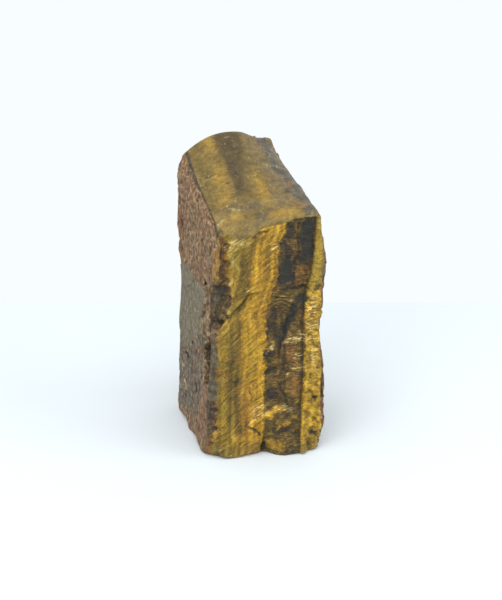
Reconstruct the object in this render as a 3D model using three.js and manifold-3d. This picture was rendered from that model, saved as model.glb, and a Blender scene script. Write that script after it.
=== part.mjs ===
// A rough block of tiger's eye standing on end: one piece broken out of a seam of fibrous quartz,
// with ironstone from the seam's two walls still on its left and right sides.
//
// Millimetres, +Z up, origin on the resting face under the middle of the block.
// +X runs across the seam, from the left ironstone wall to the right one.
// -Y is the broken front face, +Y the broken back, and the worn top climbs towards the back.
//
// The block is the inside of five gently warped faces and a flat base, rounded into each other where
// they meet, less the shells that have broken off its corners. A box grid is bent to the five faces,
// and each of its points is then moved along a line from the inside of the block until it lies on the
// finished shape. One plane cuts the flat that the block rests on.

import * as THREE from "three";
import { mergeVertices } from "three/addons/utils/BufferGeometryUtils.js";
import Module from "manifold-3d";

// Left ironstone wall: how far it stands from the middle, and how much it leans inwards going up.
const LEFT = { reach: 18.25, widerBehind: 1.6, lean: 4.3, straighterBehind: 2.8, hollow: 0.6 };
const LEFT_SKIRT = { width: 0.5, height: 6 };

// Right ironstone wall: two long swells, and a top that draws in going backwards.
const RIGHT = { reach: 18.9, swell: 0.75, swellHeight: 57, swellPitch: 38, taper: 0.02, taperAtTop: 0.085 };

// Broken front: shallow flutes along the bands, a slanting ledge and a foot that flares forwards.
const FRONT = { reach: 19.7, flute: 0.3, fluteWidth: 3, flare: 4.4, flareHeight: 34 };
const LEDGE = { depth: 0.6, height: 47.4, slope: 0.9, softness: 1.5 };

// Broken back, gently waved.
const BACK = { reach: 24.0, wave: 0.4, waveAcross: 5, waveUp: 13, sag: 0.3, sagHeight: 9 };

// Worn top: it climbs to the back, leans to the right at the front and is arched at the back.
const TOP = { height: 74.0, climb: 17.3, lean: 0.155, arch: 0.024, crest: -0.6 };
const WORN_CORNER = { dip: 0.8, at: -13.5, width: 4 };

// How far the faces are rounded into each other: walls, front, back, top and base.
const ROUND = { walls: 2.4, front: 1.8, back: 2.0, top: 2.2, base: 0.8 };

// Shells broken off the block: the middle and the half sizes of each hollow, and how soft its rim is.
const BROKEN_SHELLS = [
  { name: "left, under the shoulder", at: [-19.0, -21.4, 49.0], half: [7.6, 7.0, 9.5], rim: 1.5 },
  { name: "left, half way up", at: [-21.8, -21.4, 32.0], half: [7.6, 8.0, 8.5], rim: 1.5 },
  { name: "left, above the foot", at: [-21.6, -24.9, 13.0], half: [6.4, 6.5, 9.0], rim: 1.5 },
  { name: "left foot", at: [-21.6, -27.6, 0.0], half: [6.4, 7.5, 9.0], rim: 1.5 },
  { name: "right foot", at: [23.0, -26.6, -1.0], half: [8.0, 8.5, 5.5], rim: 1.0 },
  { name: "cleft in the front foot", at: [0.8, -24.9, -1.5], half: [1.2, 4.0, 6.5], rim: 0.6 },
  { name: "back left top corner", at: [-26.0, 27.9, 91.5], half: [8.4, 12.0, 14.0], rim: 2.0 },
  { name: "back right foot", at: [22.0, 28.9, 7.0], half: [8.0, 9.0, 17.0], rim: 2.0 },
  { name: "right side, above the middle", at: [25.1, 9.0, 58.0], half: [7.2, 15.0, 12.0], rim: 2.0 },
];

// The grid's cells across, front to back and up, and the part of the block that its lines start from.
const CELLS = { across: 13, deep: 15, up: 30 };
const CORE = { min: new THREE.Vector3(0.25, 0.25, 0.14), max: new THREE.Vector3(0.75, 0.75, 0.8) };
const LONGEST_LINE = 40;
const HALVINGS = 40;
const BENDS = 8;
const WELD = 1e-3;

// The plane that cuts the resting face takes this much off the bottom of the shape.
const BASE_CUT = 0.3;

const { clamp, lerp, smoothstep } = THREE.MathUtils;

// The larger of two numbers, with the corner between them rounded off over `round`.
function roundedMax(a, b, round) {
  const overlap = Math.max(round - Math.abs(a - b), 0) / round;
  return Math.max(a, b) + (overlap * overlap * round) / 4;
}

// 0 at the front face and 1 at the back.
const backwards = (y) => (y + FRONT.reach) / (FRONT.reach + BACK.reach);

function leftWall(y, z) {
  const t = backwards(y);
  const up = z / TOP.height;
  const stands = LEFT.reach + LEFT.widerBehind * t;
  const leans = up * (LEFT.lean - LEFT.straighterBehind * t);
  const hollow = LEFT.hollow * Math.sin(Math.PI * up) * (1 + t);
  return stands - leans - hollow + LEFT_SKIRT.width * Math.exp(-z / LEFT_SKIRT.height);
}

function rightWall(y, z) {
  const up = z / TOP.height;
  const swell = RIGHT.swell * Math.cos((2 * Math.PI * (z - RIGHT.swellHeight)) / RIGHT.swellPitch);
  const taper = RIGHT.taper + RIGHT.taperAtTop * up ** 3;
  return RIGHT.reach + swell - taper * (y + FRONT.reach);
}

function frontFace(x, z) {
  const belowLedge = smoothstep(LEDGE.height + LEDGE.slope * x - z, -LEDGE.softness, LEDGE.softness);
  const flutes = FRONT.flute * Math.cos(x / FRONT.fluteWidth);
  const flare = FRONT.flare * Math.max(1 - z / FRONT.flareHeight, 0) ** 2;
  return FRONT.reach + LEDGE.depth * belowLedge - flutes + flare;
}

function backFace(x, z) {
  const wave = BACK.wave * Math.cos(x / BACK.waveAcross + z / BACK.waveUp);
  return BACK.reach + wave + BACK.sag * Math.cos(z / BACK.sagHeight);
}

function topFace(x, y) {
  const t = backwards(y);
  const arch = TOP.arch * (x - TOP.crest) ** 2 * Math.max(t, 0);
  const worn = WORN_CORNER.dip * Math.exp(-(((x - WORN_CORNER.at) / WORN_CORNER.width) ** 2));
  return TOP.height + TOP.climb * t - arch + (TOP.lean * x - worn) * (1 - t);
}

// Roughly how far a point lies outside a broken shell, in mm.
function outsideShell({ at, half }, x, y, z) {
  const r = Math.hypot((x - at[0]) / half[0], (y - at[1]) / half[1], (z - at[2]) / half[2]);
  return (r - 1) * Math.min(...half);
}

// The block as one number for each point: below zero inside it, above zero outside.
function outsideBlock(x, y, z) {
  const walls = roundedMax(-x - leftWall(y, z), x - rightWall(y, z), ROUND.walls);
  const front = roundedMax(walls, -y - frontFace(x, z), ROUND.front);
  const back = roundedMax(front, y - backFace(x, z), ROUND.back);
  const top = roundedMax(back, z - topFace(x, y), ROUND.top);
  const base = roundedMax(top, -z - BASE_CUT, ROUND.base);
  const lessShell = (outside, shell) => roundedMax(outside, -outsideShell(shell, x, y, z), shell.rim);
  return BROKEN_SHELLS.reduce(lessShell, base);
}

// Bends a unit cube to the five faces: x, y and z from 0 to 1 go across, backwards and up.
function bend(unit) {
  const bent = new THREE.Vector3(0, 0, unit.z * TOP.height);
  for (let i = 0; i < BENDS; i++) {
    bent.y = lerp(-frontFace(bent.x, bent.z), backFace(bent.x, bent.z), unit.y);
    bent.x = lerp(-leftWall(bent.y, bent.z), rightWall(bent.y, bent.z), unit.x);
    bent.z = lerp(-BASE_CUT, topFace(bent.x, bent.y), unit.z);
  }
  return bent;
}

// Where the line from the core through a point of the unit cube's skin leaves the block.
function onBlock(unit) {
  const start = bend(unit.clone().clamp(CORE.min, CORE.max));
  const way = bend(unit).sub(start).normalize();
  const point = new THREE.Vector3();
  let inside = 0;
  let outside = LONGEST_LINE;
  for (let i = 0; i < HALVINGS; i++) {
    const middle = (inside + outside) / 2;
    point.copy(start).addScaledVector(way, middle);
    if (outsideBlock(point.x, point.y, point.z) < 0) inside = middle;
    else outside = middle;
  }
  return point;
}

// The whole skin of the block, as a box grid moved onto it.
function blockSkin() {
  const skin = new THREE.BoxGeometry(1, 1, 1, CELLS.across, CELLS.deep, CELLS.up);
  skin.translate(0.5, 0.5, 0.5);
  const position = skin.getAttribute("position");
  const unit = new THREE.Vector3();
  for (let i = 0; i < position.count; i++) {
    const point = onBlock(unit.fromBufferAttribute(position, i));
    position.setXYZ(i, point.x, point.y, point.z);
  }
  return skin;
}

// A three.js geometry as a manifold-3d solid.
function solidFrom(geometry) {
  const bare = geometry.clone();
  bare.deleteAttribute("normal");
  bare.deleteAttribute("uv");
  const welded = mergeVertices(bare, WELD);
  const vertProperties = new Float32Array(welded.getAttribute("position").array);
  const triVerts = new Uint32Array(welded.index.array);
  return new wasm.Manifold(new wasm.Mesh({ numProp: 3, vertProperties, triVerts }));
}

// A manifold-3d solid as a three.js geometry with flat facets.
function geometryFrom(solid) {
  const mesh = solid.getMesh();
  const geometry = new THREE.BufferGeometry();
  geometry.setAttribute("position", new THREE.BufferAttribute(mesh.vertProperties, mesh.numProp));
  geometry.setIndex(new THREE.BufferAttribute(mesh.triVerts, 1));
  const facets = geometry.toNonIndexed();
  facets.computeVertexNormals();
  return facets;
}

// The block with its resting face cut flat at z = 0.
function restingBlock() {
  const side = 4 * LONGEST_LINE;
  const ground = new THREE.BoxGeometry(side, side, side).translate(0, 0, -side / 2);
  return geometryFrom(solidFrom(blockSkin()).subtract(solidFrom(ground)));
}

const wasm = await Module();
wasm.setup();

const tigersEye = new THREE.MeshStandardMaterial({ color: 0x8e6c2a, roughness: 0.5, metalness: 0 });
const stone = new THREE.Mesh(restingBlock(), tigersEye);
stone.name = "tigers_eye_stone";

const block = new THREE.Group();
block.add(stone);

export default block;
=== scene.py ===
# %% [markdown]
# # A rough block of tiger's eye
#
# Tiger's eye is quartz that grew between fine fibres, in a seam between two walls of ironstone. The
# block here is one piece of such a seam, about 90 mm high, standing on end. Each colour band is a
# sheet of fibres that runs up through the stone, and the fibres lie across the seam. The front, the
# back and the foot are fresh breaks, the top is an old worn surface, and the left and right sides are
# the ironstone walls.
#
# The whole stone is one piece, so it is made as one closed skin: a box grid is moved onto a shape
# given by formulas, then roughened, and the formulas that place each band and patch are written onto
# its vertices for the material to read.

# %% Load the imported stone

import math

import bpy
import numpy as np
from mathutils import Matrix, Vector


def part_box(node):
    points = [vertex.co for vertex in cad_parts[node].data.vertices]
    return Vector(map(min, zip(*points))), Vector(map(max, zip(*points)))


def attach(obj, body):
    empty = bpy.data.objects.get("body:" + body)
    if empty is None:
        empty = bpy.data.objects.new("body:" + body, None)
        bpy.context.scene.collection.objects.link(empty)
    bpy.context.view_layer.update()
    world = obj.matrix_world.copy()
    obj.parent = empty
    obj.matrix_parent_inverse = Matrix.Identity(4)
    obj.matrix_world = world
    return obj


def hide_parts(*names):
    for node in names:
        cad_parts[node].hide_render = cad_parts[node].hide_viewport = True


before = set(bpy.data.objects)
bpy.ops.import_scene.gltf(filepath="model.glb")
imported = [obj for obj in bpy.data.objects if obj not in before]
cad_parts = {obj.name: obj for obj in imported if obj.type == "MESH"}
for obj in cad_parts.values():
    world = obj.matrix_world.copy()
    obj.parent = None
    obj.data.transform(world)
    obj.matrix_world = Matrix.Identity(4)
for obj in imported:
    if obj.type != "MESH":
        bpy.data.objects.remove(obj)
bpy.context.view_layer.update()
NODE = "tigers_eye_stone"
MM = 0.001
low, high = (np.array(corner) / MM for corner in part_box(NODE))
print("packed stone, mm:", low.round(1), high.round(1))

# %% [markdown]
# ## The shape of the block
#
# The block is what lies inside five gently warped faces and a flat base. Each face is a height: how
# far the wall, the break or the top stands from the middle, at each place on it. Where two faces meet
# they are rounded into each other, and the hollows left by shells that broke off the corners are taken
# away. All lengths are in millimetres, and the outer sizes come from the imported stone.

# %% Faces of the block

LEFT = {"reach": -low[0] - 1.6, "wider_behind": 1.6, "lean": 4.3, "straighter_behind": 2.8, "hollow": 0.6}
RIGHT = {"reach": high[0] - 0.8, "swell": 0.75, "swell_height": 57, "swell_pitch": 38, "taper": 0.02}
TAPER_AT_TOP = 0.085
CUT_REACH = 5.5
FRONT = {"reach": 20.0, "flare": 4.4, "flare_height": 34}
BACK = {"reach": 24.0, "wave": 0.4, "wave_across": 5, "wave_up": 13, "sag": 0.3, "sag_height": 9}
TOP = {"height": 74.0, "climb": 17.3, "lean": 0.155, "arch": 0.024, "crest": -0.6}


def smooth(low_edge, high_edge, value):
    """0 below the low edge, 1 above the high edge, and 3t^2 - 2t^3 between them."""
    t = np.clip((value - low_edge) / (high_edge - low_edge), 0, 1)
    return t * t * (3 - 2 * t)


def rounded_max(a, b, width):
    """The larger of two numbers, with the corner between them rounded off over a width."""
    overlap = np.maximum(width - np.abs(a - b), 0) / width
    return np.maximum(a, b) + overlap**2 * width / 4


def backwards(y):
    """0 at the front face and 1 at the back."""
    return (y + FRONT["reach"]) / (FRONT["reach"] + BACK["reach"])


def left_wall(y, z):
    """The wall leans inwards going up, less so at the back, and is slightly hollow half way up."""
    t = backwards(y)
    up = z / TOP["height"]
    leans = up * (LEFT["lean"] - LEFT["straighter_behind"] * t)
    hollow = LEFT["hollow"] * np.sin(np.pi * up) * (1 + t)
    foot = (0.2 + 0.4 * np.sin(0.42 * y + 1) + 0.15 * np.sin(1.1 * y)) * np.exp(-z / 5)
    return LEFT["reach"] + LEFT["wider_behind"] * t - leans - hollow + foot


def right_wall(y, z):
    """Two long swells up the wall, which draws in going backwards, most of all at the top."""
    up = z / TOP["height"]
    swell = RIGHT["swell"] * np.cos(2 * np.pi * (z - RIGHT["swell_height"]) / RIGHT["swell_pitch"])
    taper = RIGHT["taper"] + TAPER_AT_TOP * np.maximum(up, 0) ** 3
    return RIGHT["reach"] + swell - taper * (y + FRONT["reach"])


def left_edge_cut(x, z):
    """How far the front steps back beside the left edge: steep at first, then levelling out."""
    across = x + 0.4 * np.sin(1.1 * z) + 0.25 * np.sin(2.3 * z + 1)
    height = z + 0.5 * np.sin(0.9 * x + 2)
    edge = np.array([
        # height, where the cut starts across the face, its depth one CUT_REACH further left
        (0, -15.0, 1.4), (4, -16.0, 1.4), (7, -15.6, 2.6), (10, -14.8, 3.6), (14, -14.1, 4.0),
        (18, -14.2, 3.8), (22, -14.4, 3.2), (26, -13.6, 2.4), (30, -13.8, 2.0), (41, -13.9, 2.0),
        (42.5, -12.4, 3.4), (45, -10.6, 4.6), (49, -9.3, 5.0), (53, -9.2, 3.8), (54.8, -10.4, 2.8),
        (60, -10.2, 2.6), (67, -10.2, 2.6), (70, -11.4, 1.6), (72, -13.2, 0.6), (76, -14.0, 0.0),
    ]).T
    share = np.clip((np.interp(height, edge[0], edge[1]) - across) / CUT_REACH, 0, 1)
    standing_rim = smooth(-11.9, -13.1, across) * smooth(53.5, 56.5, height) * smooth(73.5, 70.5, height)
    return np.interp(height, edge[0], edge[2]) * share**0.75 * (1 - 0.8 * standing_rim)


def front_face(x, z):
    """A break whose foot flares forwards in two lobes, and which turns away high on the left."""
    flare = FRONT["flare"] * np.maximum(1 - z / FRONT["flare_height"], 0) ** 2
    lobes_across = (-18, -15.3, -12, -7, -2.3, 0, 1, 3.3, 6, 9.3, 12.0, 13.8, 15, 17, 19)
    lobes_out = (-5, -3, -0.6, -0.6, -2.2, -2.8, -2.4, -0.4, 1.2, 1.8, 1.5, -1.2, -1.4, -3.6, -6)
    lobes = np.interp(x, lobes_across, lobes_out) * smooth(9, 0, z)
    ridge = -3.6 + 0.14 * (z - 60)
    turned = 0.13 * np.logaddexp(0, (ridge - x) / 0.6) * 0.6 * smooth(47, 54, z)
    return FRONT["reach"] + flare + lobes - turned - left_edge_cut(x, z)


def back_face(x, z):
    """A break with a long slanting wave."""
    wave = BACK["wave"] * np.cos(x / BACK["wave_across"] + z / BACK["wave_up"])
    return BACK["reach"] + wave + BACK["sag"] * np.cos(z / BACK["sag_height"])


def top_face(x, y):
    """Climbs to the back, leans to the right at the front, and is arched at the back."""
    t = backwards(y)
    arch = TOP["arch"] * (x - TOP["crest"]) ** 2 * np.maximum(t, 0)
    worn_corner = 0.8 * np.exp(-(((x + 13.5) / 4) ** 2))
    return TOP["height"] + TOP["climb"] * t - arch + (TOP["lean"] * x - worn_corner) * (1 - t)


def crust_line(y):
    """How far left the worn top reaches before the ironstone starts, at each place going backwards."""
    return np.interp(y, (-20, -10, 5, 22), (13.3, 14.5, 15.7, 16.0))


print("block, mm: front to back", FRONT["reach"] + BACK["reach"], "and up to", TOP["height"] + TOP["climb"])

# %% [markdown]
# ## Shells and rounded edges
#
# Quartz breaks in shells, so corners come away as shallow bowls. Each shell is an ellipsoid that takes
# its hollow out of the block. A boolean cut would leave knife edges and stray vertices, so the hollows
# go into the same formula as the faces, and every edge gets its own rounding.

# %% Shells broken off, and the whole skin as one formula

ROUNDING = {"shoulder": 1.6, "left": 1.2, "right": 1.6, "back": 2.0, "crust": 0.8, "foot": 2.4}
SHELLS = [
    # middle of the hollow, its half sizes, softness of its rim
    ((6.4, 27.4, 88.0), (5.4, 6.0, 8.0), 0.3),
    ((22.0, 29.4, 7.0), (8.0, 9.0, 17.0), 1.0),
    ((25.1, 9.0, 58.0), (7.2, 15.0, 12.0), 1.0),
    ((-7.0, 38.0, 66.0), (15.0, 15.6, 17.0), 0.6),
    ((8.0, 37.5, 40.0), (13.0, 14.6, 21.0), 0.6),
    ((-10.0, 36.0, 22.0), (13.0, 13.2, 18.0), 0.6),
    ((-22.0, 28.0, 8.0), (8.0, 7.5, 13.0), 0.8),
    ((30.0, -6.0, 24.0), (12.0, 13.0, 15.0), 0.8),
]


def outside_shell(point, middle, half):
    """How far a point lies outside a shell: its distance from the middle in half sizes, less one."""
    r = np.sqrt(sum(((p - m) / h) ** 2 for p, m, h in zip(point, middle, half)))
    return (r - 1) * min(half)


def outside_block(x, y, z):
    """Below zero inside the block, above zero outside it, and zero on its skin."""
    worn_shoulder = ROUNDING["shoulder"] + 6.5 * smooth(1, -9, x)
    skin = rounded_max(-y - front_face(x, z), z - top_face(x, y), worn_shoulder)
    skin = rounded_max(skin, -x - left_wall(y, z), ROUNDING["left"])
    skin = rounded_max(skin, x - right_wall(y, z), ROUNDING["right"] + 1.8 * smooth(66, 74, z))
    skin = rounded_max(skin, y - back_face(x, z), ROUNDING["back"])
    bevel = 0.9 * (-x - crust_line(y)) + 0.43 * (z - top_face(-crust_line(y), y))
    skin = rounded_max(skin, bevel, ROUNDING["crust"])
    for middle, half, rim in SHELLS:
        skin = rounded_max(skin, -outside_shell((x, y, z), middle, half), rim)
    return rounded_max(skin, -z, ROUNDING["foot"] + 1.2 * np.sin(0.45 * x) * np.cos(0.38 * y))


print("shells broken off:", len(SHELLS))


# %% [markdown]
# ## The grid
#
# The skin is the surface of a box, cut into a lattice of cells under half a millimetre wide. Each
# lattice point is bent onto the five faces and joined by a line to a point inside the stone. The skin
# crosses that line once, and halving the line again and again finds where. One lattice for all six
# sides means that the skin closes by itself, with no seams to sew.

# %% Lattice points and their quads

CELLS = (90, 104, 190)
CORE_LOW, CORE_HIGH = (0.25, 0.25, 0.14), (0.75, 0.75, 0.80)
BEND_ROUNDS, HALVINGS, FARTHEST = 8, 24, 40.0


def box_lattice(cells):
    """Points of a unit box's surface, x, y and z from 0 to 1, and quads that face outwards."""
    across, deep, up = (np.arange(n + 1) for n in cells)
    sides = []
    for axis, outward in ((0, 0), (0, 1), (1, 0), (1, 1), (2, 0), (2, 1)):
        first, second = ((deep, up), (up, across), (across, deep))[axis]
        a, b = np.meshgrid(first, second, indexing="ij")
        fixed = np.full_like(a, outward * cells[axis])
        sides.append((np.stack(((fixed, a, b), (b, fixed, a), (a, b, fixed))[axis], -1), outward))
    codes = [side @ np.array((1, 1000, 1000000)) for side, _ in sides]
    unique, first_seen = np.unique(np.concatenate([c.ravel() for c in codes]), return_index=True)
    lattice = np.concatenate([side.reshape(-1, 3) for side, _ in sides])[first_seen]
    quads = []
    for code, (_, outward) in zip(codes, sides):
        index = np.searchsorted(unique, code)
        quad = np.stack((index[:-1, :-1], index[1:, :-1], index[1:, 1:], index[:-1, 1:]), -1).reshape(-1, 4)
        quads.append(quad if outward else quad[:, ::-1])
    return lattice / np.array(cells), np.concatenate(quads)


def bend(unit):
    """A unit box's points bent to the five faces, by a few rounds of setting y, x and z in turn."""
    x = y = np.zeros(len(unit))
    z = unit[:, 2] * TOP["height"]
    for _ in range(BEND_ROUNDS):
        y = -front_face(x, z) + unit[:, 1] * (back_face(x, z) + front_face(x, z))
        x = -left_wall(y, z) + unit[:, 0] * (right_wall(y, z) + left_wall(y, z))
        z = unit[:, 2] * top_face(x, y)
    return np.stack((x, y, z), -1)


def onto_block(unit):
    """Where the line from the core through each bent point leaves the block, by halving."""
    start = bend(np.clip(unit, CORE_LOW, CORE_HIGH))
    way = bend(unit) - start
    way /= np.linalg.norm(way, axis=1, keepdims=True)
    inside, outside = np.zeros(len(unit)), np.full(len(unit), FARTHEST)
    for _ in range(HALVINGS):
        middle = (inside + outside) / 2
        within = outside_block(*(start + way * middle[:, None]).T) < 0
        inside, outside = np.where(within, middle, inside), np.where(within, outside, middle)
    return start + way * inside[:, None]


def slopes(points, step=0.05):
    """Directions straight out of the skin: how fast outside_block grows along x, y and z."""
    out = np.empty_like(points)
    for axis in range(3):
        shift = np.eye(3)[axis] * step
        out[:, axis] = outside_block(*(points + shift).T) - outside_block(*(points - shift).T)
    return out / np.linalg.norm(out, axis=1, keepdims=True)


unit, quads = box_lattice(CELLS)
smooth_skin = onto_block(unit)
outwards = slopes(smooth_skin)
print("skin:", len(smooth_skin), "points,", 2 * len(quads), "triangles")

# %% [markdown]
# ## Natural unevenness
#
# Nothing on a broken stone repeats, so the unevenness is worked out from whole-numbered cells in
# space: each cell gets a fixed random number, made from its own place by multiplying and mixing bits,
# so every run gives the same stone. Waves are soft swells, scars are shallow bowls with sharp ridges
# between them, and splinters are tilted flakes with small steps where one ends and the next begins.

# %% Random numbers in space

def cell_number(cell, seed):
    """A number from 0 to 1 for each cell: its three whole numbers times large primes, with bits mixed."""
    n = (cell[..., 0] * 73856093) ^ (cell[..., 1] * 19349663) ^ (cell[..., 2] * 83492791) ^ (seed * 40503)
    for _ in range(2):
        n = (((n & 0xFFFFFFFF) >> 16) ^ n & 0xFFFFFFFF) * 0x45D9F3B & 0xFFFFFFFF
    return ((n >> 16) ^ n) / 0xFFFFFFFF


def waves(points, size, seed, layers=1):
    """Smooth unevenness from -1 to 1 about `size` mm long, plus layers each half as long and high."""
    total = np.zeros(len(points))
    for layer in range(layers):
        place = points * 2**layer / size
        cell = np.floor(place).astype(np.int64)
        t = place - cell
        t = t * t * (3 - 2 * t)
        for corner in np.ndindex(2, 2, 2):
            share = np.prod(np.where(np.array(corner), t, 1 - t), axis=1)
            total += share * (2 * cell_number(cell + np.array(corner), seed + layer) - 1) / 2**layer
    return total


def nearest_seed(points, size, seed):
    """Each point's nearest seed, one seed to a cell: squared distance, offset from it and its cell."""
    place = points / size
    cell = np.floor(place).astype(np.int64)
    least, offset, owner = np.full(len(points), 9.0), np.zeros_like(place), cell.copy()
    for corner in np.ndindex(3, 3, 3):
        near = cell + np.array(corner) - 1
        away = place - near - np.stack([cell_number(near, seed + k) for k in range(3)], -1)
        squared = (away**2).sum(1)
        closer = squared < least
        least = np.where(closer, squared, least)
        offset[closer], owner[closer] = away[closer], near[closer]
    return least, offset, owner


def scars(points, size, seed):
    """Shallow bowls from about -0.35 to 1, the squared distance to the nearest seed less 0.35."""
    return nearest_seed(points, size, seed)[0] - 0.35


def splinters(points, size, seed, tilt=1.0):
    """Flakes from about -1 to 1: each has its own level, and its own tilt along all three ways."""
    _, offset, owner = nearest_seed(points, size, seed)
    lean = np.stack([cell_number(owner, seed + 10 + k) for k in range(3)], -1) - 0.5
    return 2 * cell_number(owner, seed + 9) - 1 + tilt * 2 * (offset * lean).sum(1)


def wandering(points, seed, reach=0.8):
    """A sideways drift of up to about `reach` mm that makes drawn edges ragged."""
    return reach * (waves(points, 3.4, seed) + 0.5 * waves(points, 1.3, seed + 1))


# %% [markdown]
# ## Where each band and patch is
#
# The bands are sheets that run up through the stone and lean a little to the right, so a band's edge
# is a line on the front face: how far across it stands at each height. A patch is a few ellipses on a
# face, and a vein or a crack is a line of a few points. All are kept as signed distances in mm, above
# zero inside, because a distance stays exact between two vertices, where a painted edge would blur.

# %% Ways to measure bands, spots and lines

x, y, z = smooth_skin.T
NOWHERE = -9.0
on_front = smooth(-0.1, -0.5, outwards[:, 1]) * (y < -9)
on_top = smooth(0.35, 0.65, outwards[:, 2])
on_left = smooth(0.3, 0.65, -outwards[:, 0])
on_back = smooth(0.3, 0.6, outwards[:, 1])
front_x, front_z = x + wandering(smooth_skin, 101), z + wandering(smooth_skin, 104)
top_x, top_y = x + wandering(smooth_skin, 107, 0.5), y + wandering(smooth_skin, 110, 0.5)
wall_y, wall_z = y + wandering(smooth_skin, 113, 1.0), z + wandering(smooth_skin, 116, 1.2)
drift = 1.6 * waves(smooth_skin * (0.3, 1, 0.5), 9, 11) * smooth(-18, -6, y)


def across_at(*places):
    """A band's edge: its place across the stone at each height, joined by straight lines."""
    heights, across = zip(*places)
    return np.interp(z, heights, across) + drift


def spots(u, v, *ellipses):
    """The largest of several ellipses' distances: middle, half sizes and turn in degrees of each."""
    inside = np.full(len(u), NOWHERE)
    for middle_u, middle_v, half_u, half_v, turn in ellipses:
        c, s = math.cos(math.radians(turn)), math.sin(math.radians(turn))
        along = ((u - middle_u) * c + (v - middle_v) * s) / half_u
        over = ((v - middle_v) * c - (u - middle_u) * s) / half_v
        inside = np.maximum(inside, (1 - np.hypot(along, over)) * min(half_u, half_v))
    return inside


def lines(u, v, *paths):
    """The largest of several lines' distances: half the width, less how far away its path runs."""
    inside = np.full(len(u), NOWHERE)
    for half_width, *path in paths:
        for (u0, v0), (u1, v1) in zip(path, path[1:]):
            du, dv = u1 - u0, v1 - v0
            t = np.clip(((u - u0) * du + (v - v0) * dv) / (du * du + dv * dv), 0, 1)
            inside = np.maximum(inside, half_width - np.hypot(u - u0 - t * du, v - v0 - t * dv))
    return inside


def only(face, *distances):
    """The largest of several distances, cut back to where the skin belongs to a face."""
    return np.minimum(np.maximum.reduce(distances), np.where(face > 0.05, 20 * face, NOWHERE))


# %% [markdown]
# ## Sheets that run through the stone
#
# From left to right a seam holds ironstone, olive and gold fibres, a dark band, a thin gold band and
# ironstone again. Each starts where the one before it ends, so a single edge line does for both. The
# lines drift going backwards, so the back shows the same bands in slightly different places.

# %% Sheets that run through the stone

gold_edge = across_at(
    (0, -1.0), (5, -0.5), (15, 0.0), (21, 0.2), (26, 0.6), (32, 1.8), (37, 1.3), (41, 1.4), (45.5, 0.6),
    (48.5, 2.0), (54, 3.6), (57, 4.6), (64, 4.8), (67.5, 5.2), (70.5, 6.8), (76, 7.0),
)
strip_edge = across_at(
    (0, 10.7), (10, 11.6), (20, 12.2), (30, 12.7), (43, 12.6), (50, 13.2), (57, 15.0), (76, 16.8)
)
rind_edge = across_at(
    (0, 17.4), (20, 17.7), (30, 18.2), (43, 17.8), (55, 17.9), (60, 18.3), (67, 19.0), (76, 20.0)
)
left_depth = x + left_wall(y, z)
right_depth = right_wall(y, z) - x
in_dark = x - gold_edge
in_strip = x - strip_edge
in_rind = np.maximum(x - rind_edge, np.minimum(0.7 - right_depth, 3 * (outwards[:, 0] - 0.55)))
in_rind = np.minimum(in_rind, 3.0 + 2.6 * waves(smooth_skin * (1, 1, 0.4), 12, 23, 3))
break_line = np.interp(front_x, (-14, -5, -2, 0, 6, 16), (69.6, 69.4, 70.4, 72.2, 73.4, 75.2))
in_worn = np.minimum(front_z - break_line, 6 * (outwards[:, 2] - np.where(z > break_line + 2, 0.3, 0.05)))
in_worn = np.minimum(in_worn, x + crust_line(y) + 0.3 * waves(smooth_skin, 3, 21))
in_wall = np.minimum(1.4 + 0.5 * waves(smooth_skin, 5, 22, 2) - left_depth, 3 * (on_left - 0.5))
standing = smooth(53.5, 56.5, z) * smooth(73.5, 70.5, z)
in_wall = np.minimum(in_wall, 1.5 * (y + front_face(x, z) - 0.5 - 1.5 * standing))
in_wall = np.maximum(in_wall, np.minimum(-x - crust_line(y), z - 66))
in_section = 2.3 + 0.5 * waves(smooth_skin, 4, 24, 2) - left_depth
cut_back = left_edge_cut(x, z)
in_scoop = only(on_front, np.minimum(2 * (cut_back - 0.3), x + 12.6 + 9 * (1 - standing)))
print("points in the dark band:", (in_dark > 0).sum(), "and in the right gold band:", (in_strip > 0).sum())

# %% [markdown]
# ## Patches of the front face
#
# The fresh break shows where iron stained the fibres or left them dark: charcoal and umber in the dark
# band, olive stripes in the gold one, and pale chips where the break bruised the quartz. Some of the
# umber is painted shade, in the cleft at the foot and in two pits, and some of the olive is painted
# shade, in the trough below its rim and on the facet that turns away high on the left. A few pale
# lines are painted highlights along the upper edges of the trough and of the gold tongue, and the
# clusters of sparkles are painted highlights where many small steps catch the light. Each is drawn as
# ellipses and lines on the face.

# %% Dark and stained patches of the front face, some of them painted shade

charcoal = only(on_front, spots(
    front_x, front_z,
    (13.5, 68.0, 2.1, 9.0, -4), (7.2, 57.5, 2.6, 5.6, 0), (11.4, 49.2, 1.9, 1.8, 0),
    (9.7, 46.4, 1.1, 2.6, -30), (7.6, 42.0, 0.9, 3.6, -22), (6.0, 37.0, 0.9, 5.6, -4),
    (1.3, 32.2, 0.6, 2.4, 0), (6.6, 29.0, 0.4, 2.5, -5), (6.6, 20.0, 0.3, 4.0, 10),
    (7.8, 1.0, 2.0, 1.8, 30), (4.2, 38.0, 0.5, 3.0, 0), (11.9, 47.0, 0.8, 4.0, 0),
), lines(x, z, (0.3, (9.0, 52.9), (12.5, 53.0), (13.8, 52.2)), (0.12, (12.4, 20), (12.7, 30), (13.0, 43))))
tongue_gold = only(on_front, lines(
    front_x, front_z, (0.9, (-3.0, 11.0), (0.6, 12.2), (4.4, 14.2)),
), spots(front_x, front_z, (3.1, 3.0, 2.8, 2.3, 0), (6.2, 9.0, 1.6, 0.6, 20)))
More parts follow.
